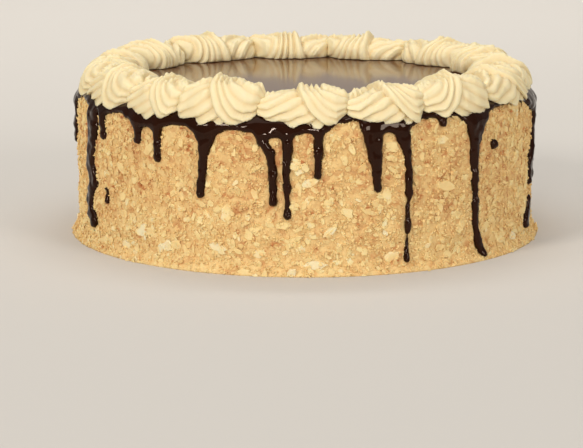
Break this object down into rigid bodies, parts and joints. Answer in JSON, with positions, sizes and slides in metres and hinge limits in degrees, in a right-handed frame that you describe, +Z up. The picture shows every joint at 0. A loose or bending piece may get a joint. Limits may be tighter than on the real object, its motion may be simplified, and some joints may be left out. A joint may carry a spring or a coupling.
{
  "type": "chocolate layer cake",
  "caption": "Round tall layer cake, coated in chopped nuts, with a poured chocolate glaze that drips down the side and a ring of piped buttercream swirls.",
  "frame": {"origin": "middle of the cake's flat underside, on the surface it stands on", "axes": "+Z up through the cake's middle, -Y towards the side seen in the reference view, +X to that view's right"},
  "size_m": [0.2592, 0.2592, 0.0992],
  "materials": {
    "nut_coat": "matte, rough coat of chopped and flaked toasted nuts",
    "chocolate": "glossy set chocolate glaze",
    "buttercream": "soft satin piped buttercream"
  },
  "bodies": {
    "root": {"cake_body": "nut_coat", "chocolate_glaze": "chocolate", "swirl_01": "buttercream", "swirl_02": "buttercream", "swirl_03": "buttercream", "swirl_04": "buttercream", "swirl_05": "buttercream", "swirl_06": "buttercream", "swirl_07": "buttercream", "swirl_08": "buttercream", "swirl_09": "buttercream", "swirl_10": "buttercream", "swirl_11": "buttercream", "swirl_12": "buttercream", "swirl_13": "buttercream", "swirl_14": "buttercream", "swirl_15": "buttercream", "swirl_16": "buttercream"}
  },
  "joints": []
}
